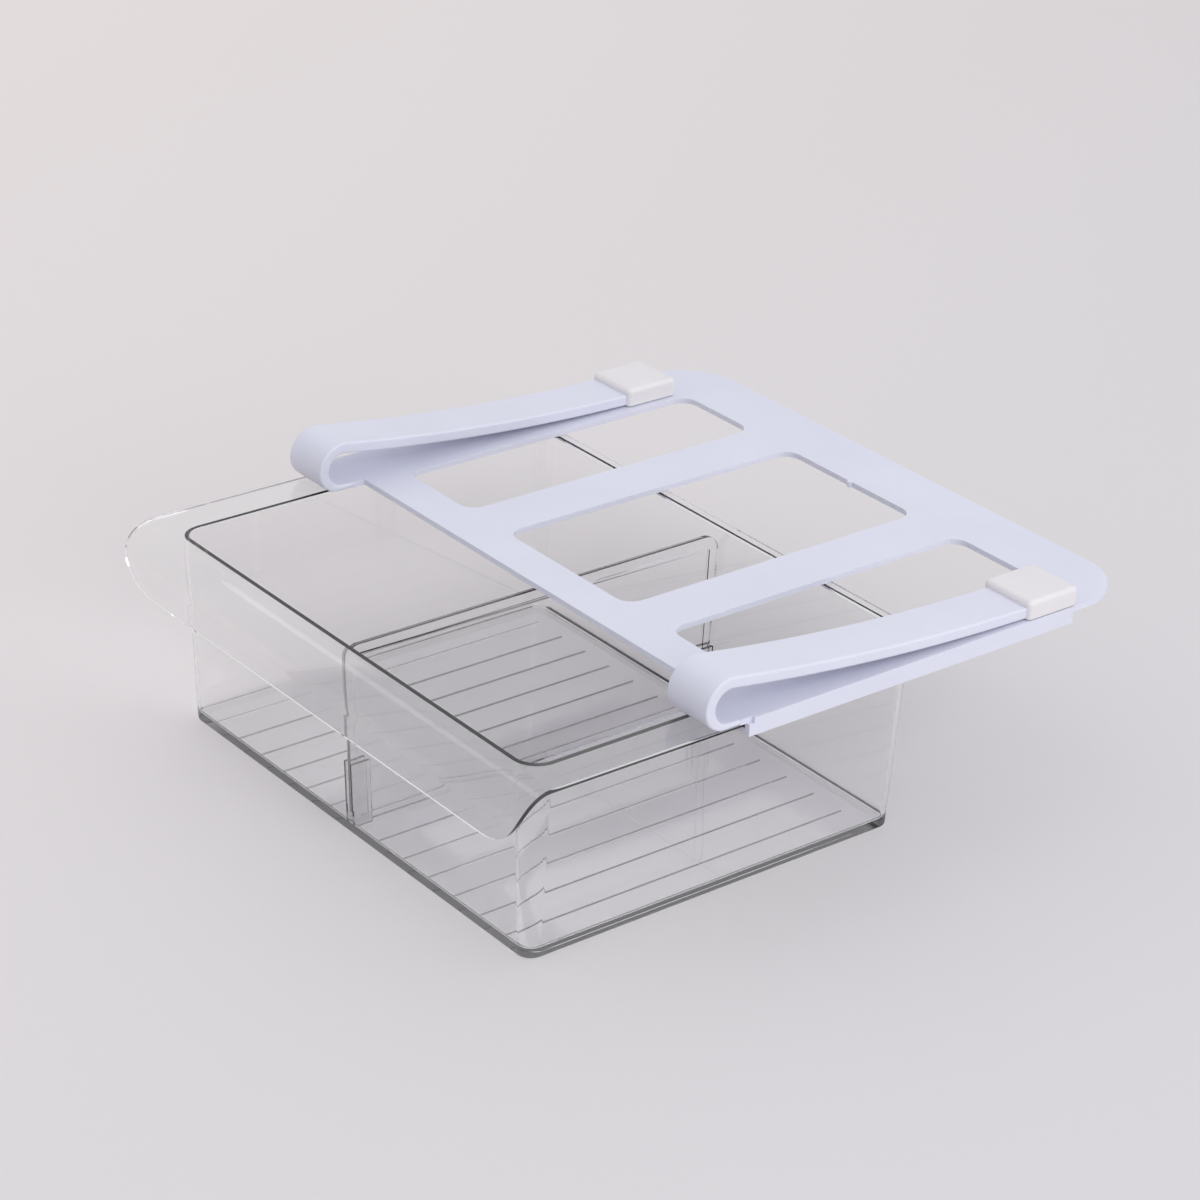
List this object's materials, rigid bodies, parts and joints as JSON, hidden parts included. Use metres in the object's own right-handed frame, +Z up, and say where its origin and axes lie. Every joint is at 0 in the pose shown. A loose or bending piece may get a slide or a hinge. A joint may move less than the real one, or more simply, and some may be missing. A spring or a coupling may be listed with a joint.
{
  "type": "fridge drawer organizer",
  "caption": "Clear fridge drawer with a lift-out divider, sliding in rails under a flat grid frame that spring clips hold to a shelf.",
  "frame": {"origin": "centre of the tray's flat underside, with the tray pulled out as in the picture", "axes": "+X to the right seen from the pull side, -Y the way the drawer pulls out, +Z up"},
  "size_m": [0.3064, 0.3342, 0.1168],
  "materials": {
    "clear": "glossy",
    "frame": "satin",
    "boot": "soft matt"
  },
  "bodies": {
    "frame": {"grid_plate": "frame", "left_rail": "frame", "right_rail": "frame"},
    "drawer": {"drawer_tray": "clear"},
    "divider_panel": {"divider": "clear"},
    "left_arm": {"left_clip_arm": "frame", "left_grip_boot": "boot"},
    "right_arm": {"right_clip_arm": "frame", "right_grip_boot": "boot"}
  },
  "joints": [
    {"name": "drawer_slide", "type": "slide", "parent": "frame", "child": "drawer", "axis": [0, -1, 0], "range_m": [-0.0965, 0.1]},
    {"name": "divider_lift", "type": "slide", "parent": "drawer", "child": "divider_panel", "axis": [0, 0, 1], "range_m": [0, 0.0027]},
    {"name": "left_clip_flex", "type": "hinge", "parent": "frame", "child": "left_arm", "pos_m": [-0.1387, -0.02815, 0.1038], "axis": [1, 0, 0], "range_deg": [0, 6], "stiffness_Nm_per_rad": 8, "springref_deg": -1.72},
    {"name": "right_clip_flex", "type": "hinge", "parent": "frame", "child": "right_arm", "pos_m": [0.1387, -0.02815, 0.1038], "axis": [1, 0, 0], "range_deg": [0, 6], "stiffness_Nm_per_rad": 8, "springref_deg": -1.72}
  ]
}
